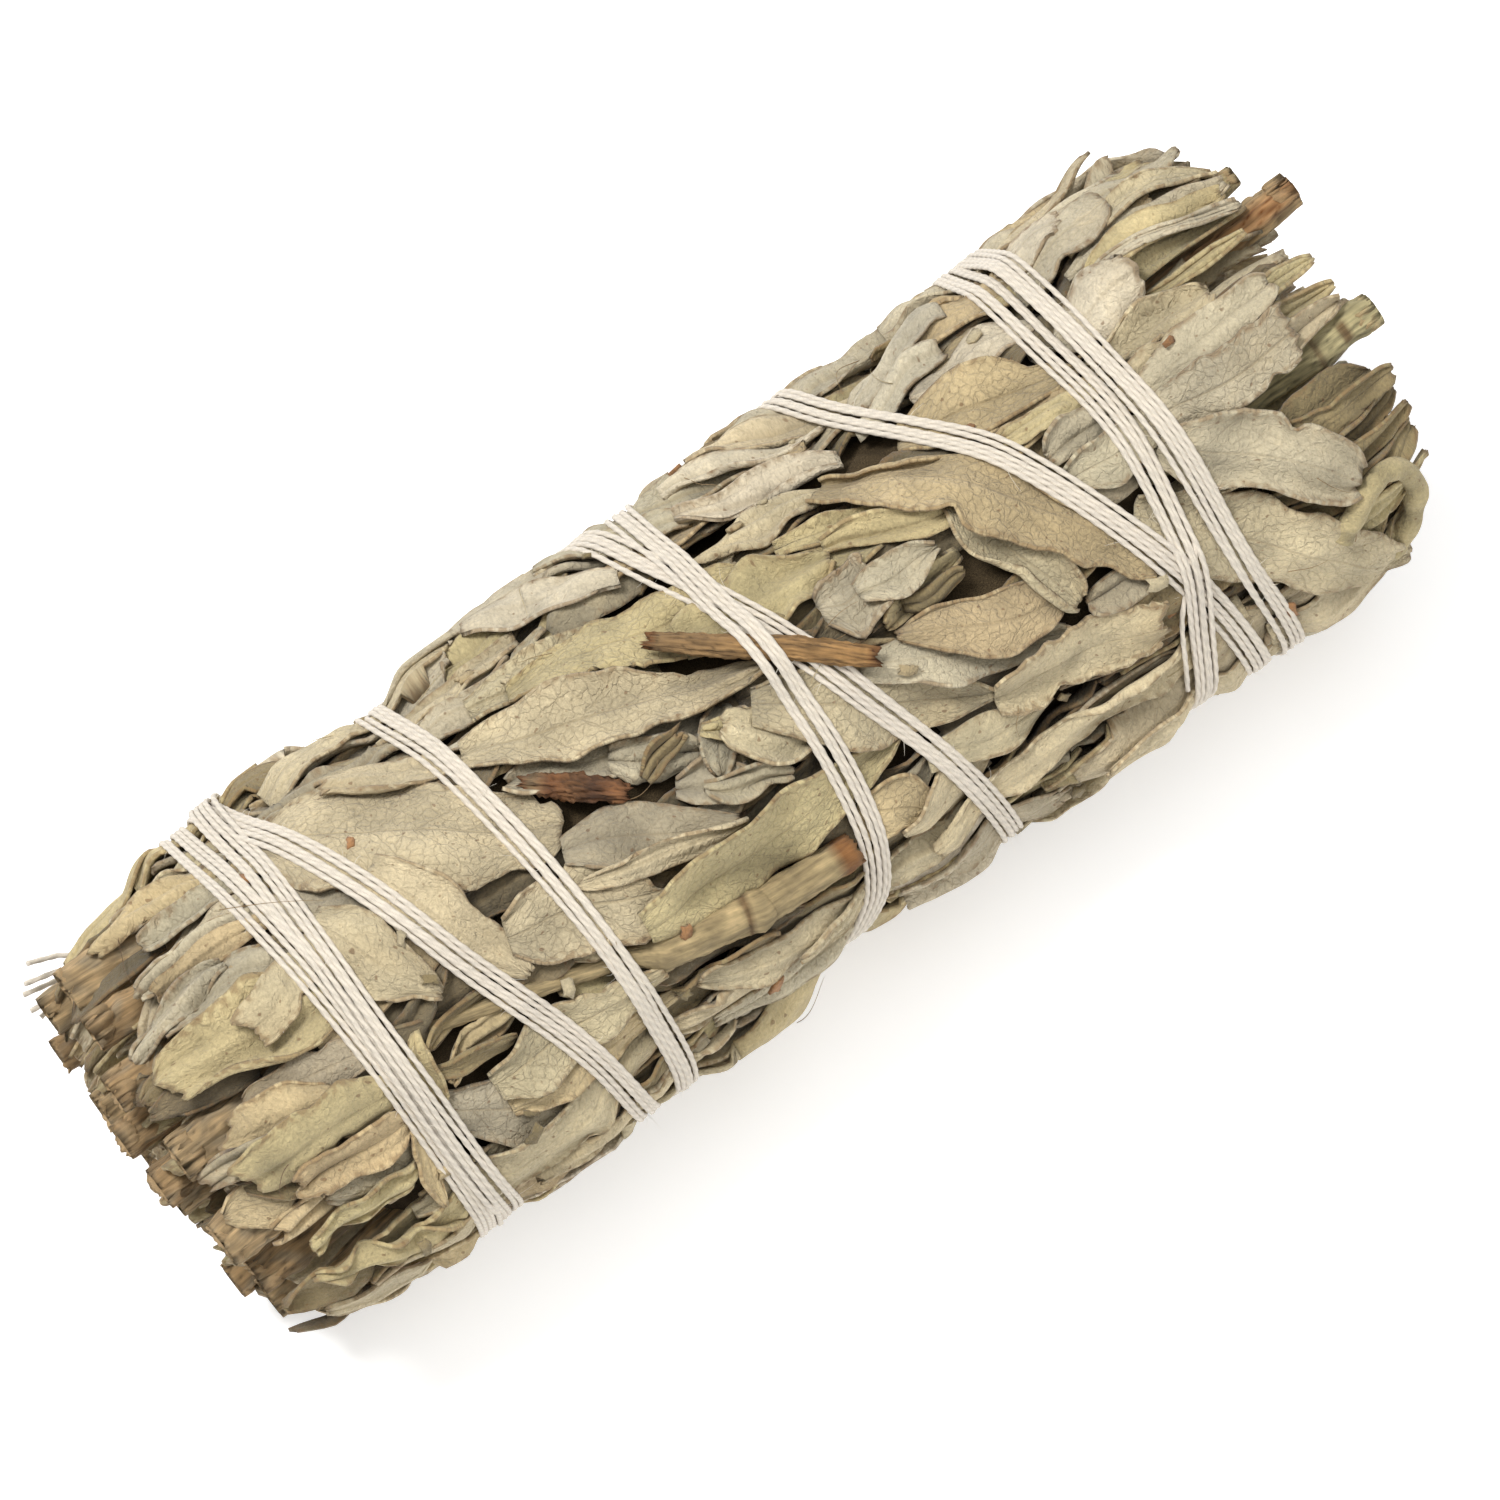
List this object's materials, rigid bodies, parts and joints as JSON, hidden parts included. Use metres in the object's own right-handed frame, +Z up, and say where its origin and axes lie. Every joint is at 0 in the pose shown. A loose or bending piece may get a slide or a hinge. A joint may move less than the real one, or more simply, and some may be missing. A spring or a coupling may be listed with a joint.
{
  "type": "dried sage bunch",
  "caption": "Dried white sage bunch lying down: overlapping pale leaves and woody stems bound criss-cross with flat bands of cotton thread, cut stems at one end and leaf tips at the other.",
  "frame": {"origin": "bottom centre of the bunch's box, on the surface it lies on", "axes": "+X along the bunch towards the leaf tips, +Z up"},
  "size_m": [0.1146, 0.04, 0.041],
  "materials": {
    "leaf": "dry felted leaf, matte",
    "stem": "dry woody stem, matte",
    "tip_stem": "dry young stem, matte",
    "twig": "smooth orange-brown bark",
    "bark": "rough bark",
    "pale_stem": "peeled pale stem, matte",
    "thread": "twisted cotton, matte"
  },
  "bodies": {
    "root": {"sprig_1": "leaf", "sprig_2": "leaf", "sprig_3": "leaf", "sprig_4": "leaf", "sprig_5": "leaf", "sprig_6": "leaf", "stem_1": "stem", "stem_2": "stem", "stem_3": "stem", "stem_4": "stem", "stem_5": "stem", "stem_6": "stem", "stem_7": "stem", "stem_8": "stem", "stem_9": "stem", "stem_10": "stem", "stem_11": "stem", "stem_12": "stem", "stem_13": "stem", "stem_14": "stem", "stem_15": "stem", "stem_16": "stem", "stem_17": "stem", "stem_18": "stem", "stem_19": "stem", "brown_tip_stem": "tip_stem", "thin_tip_stem": "tip_stem", "jointed_tip_stem": "tip_stem", "loose_twig": "twig", "bark_scrap": "bark", "broken_stem": "pale_stem", "thread": "thread"}
  },
  "joints": []
}
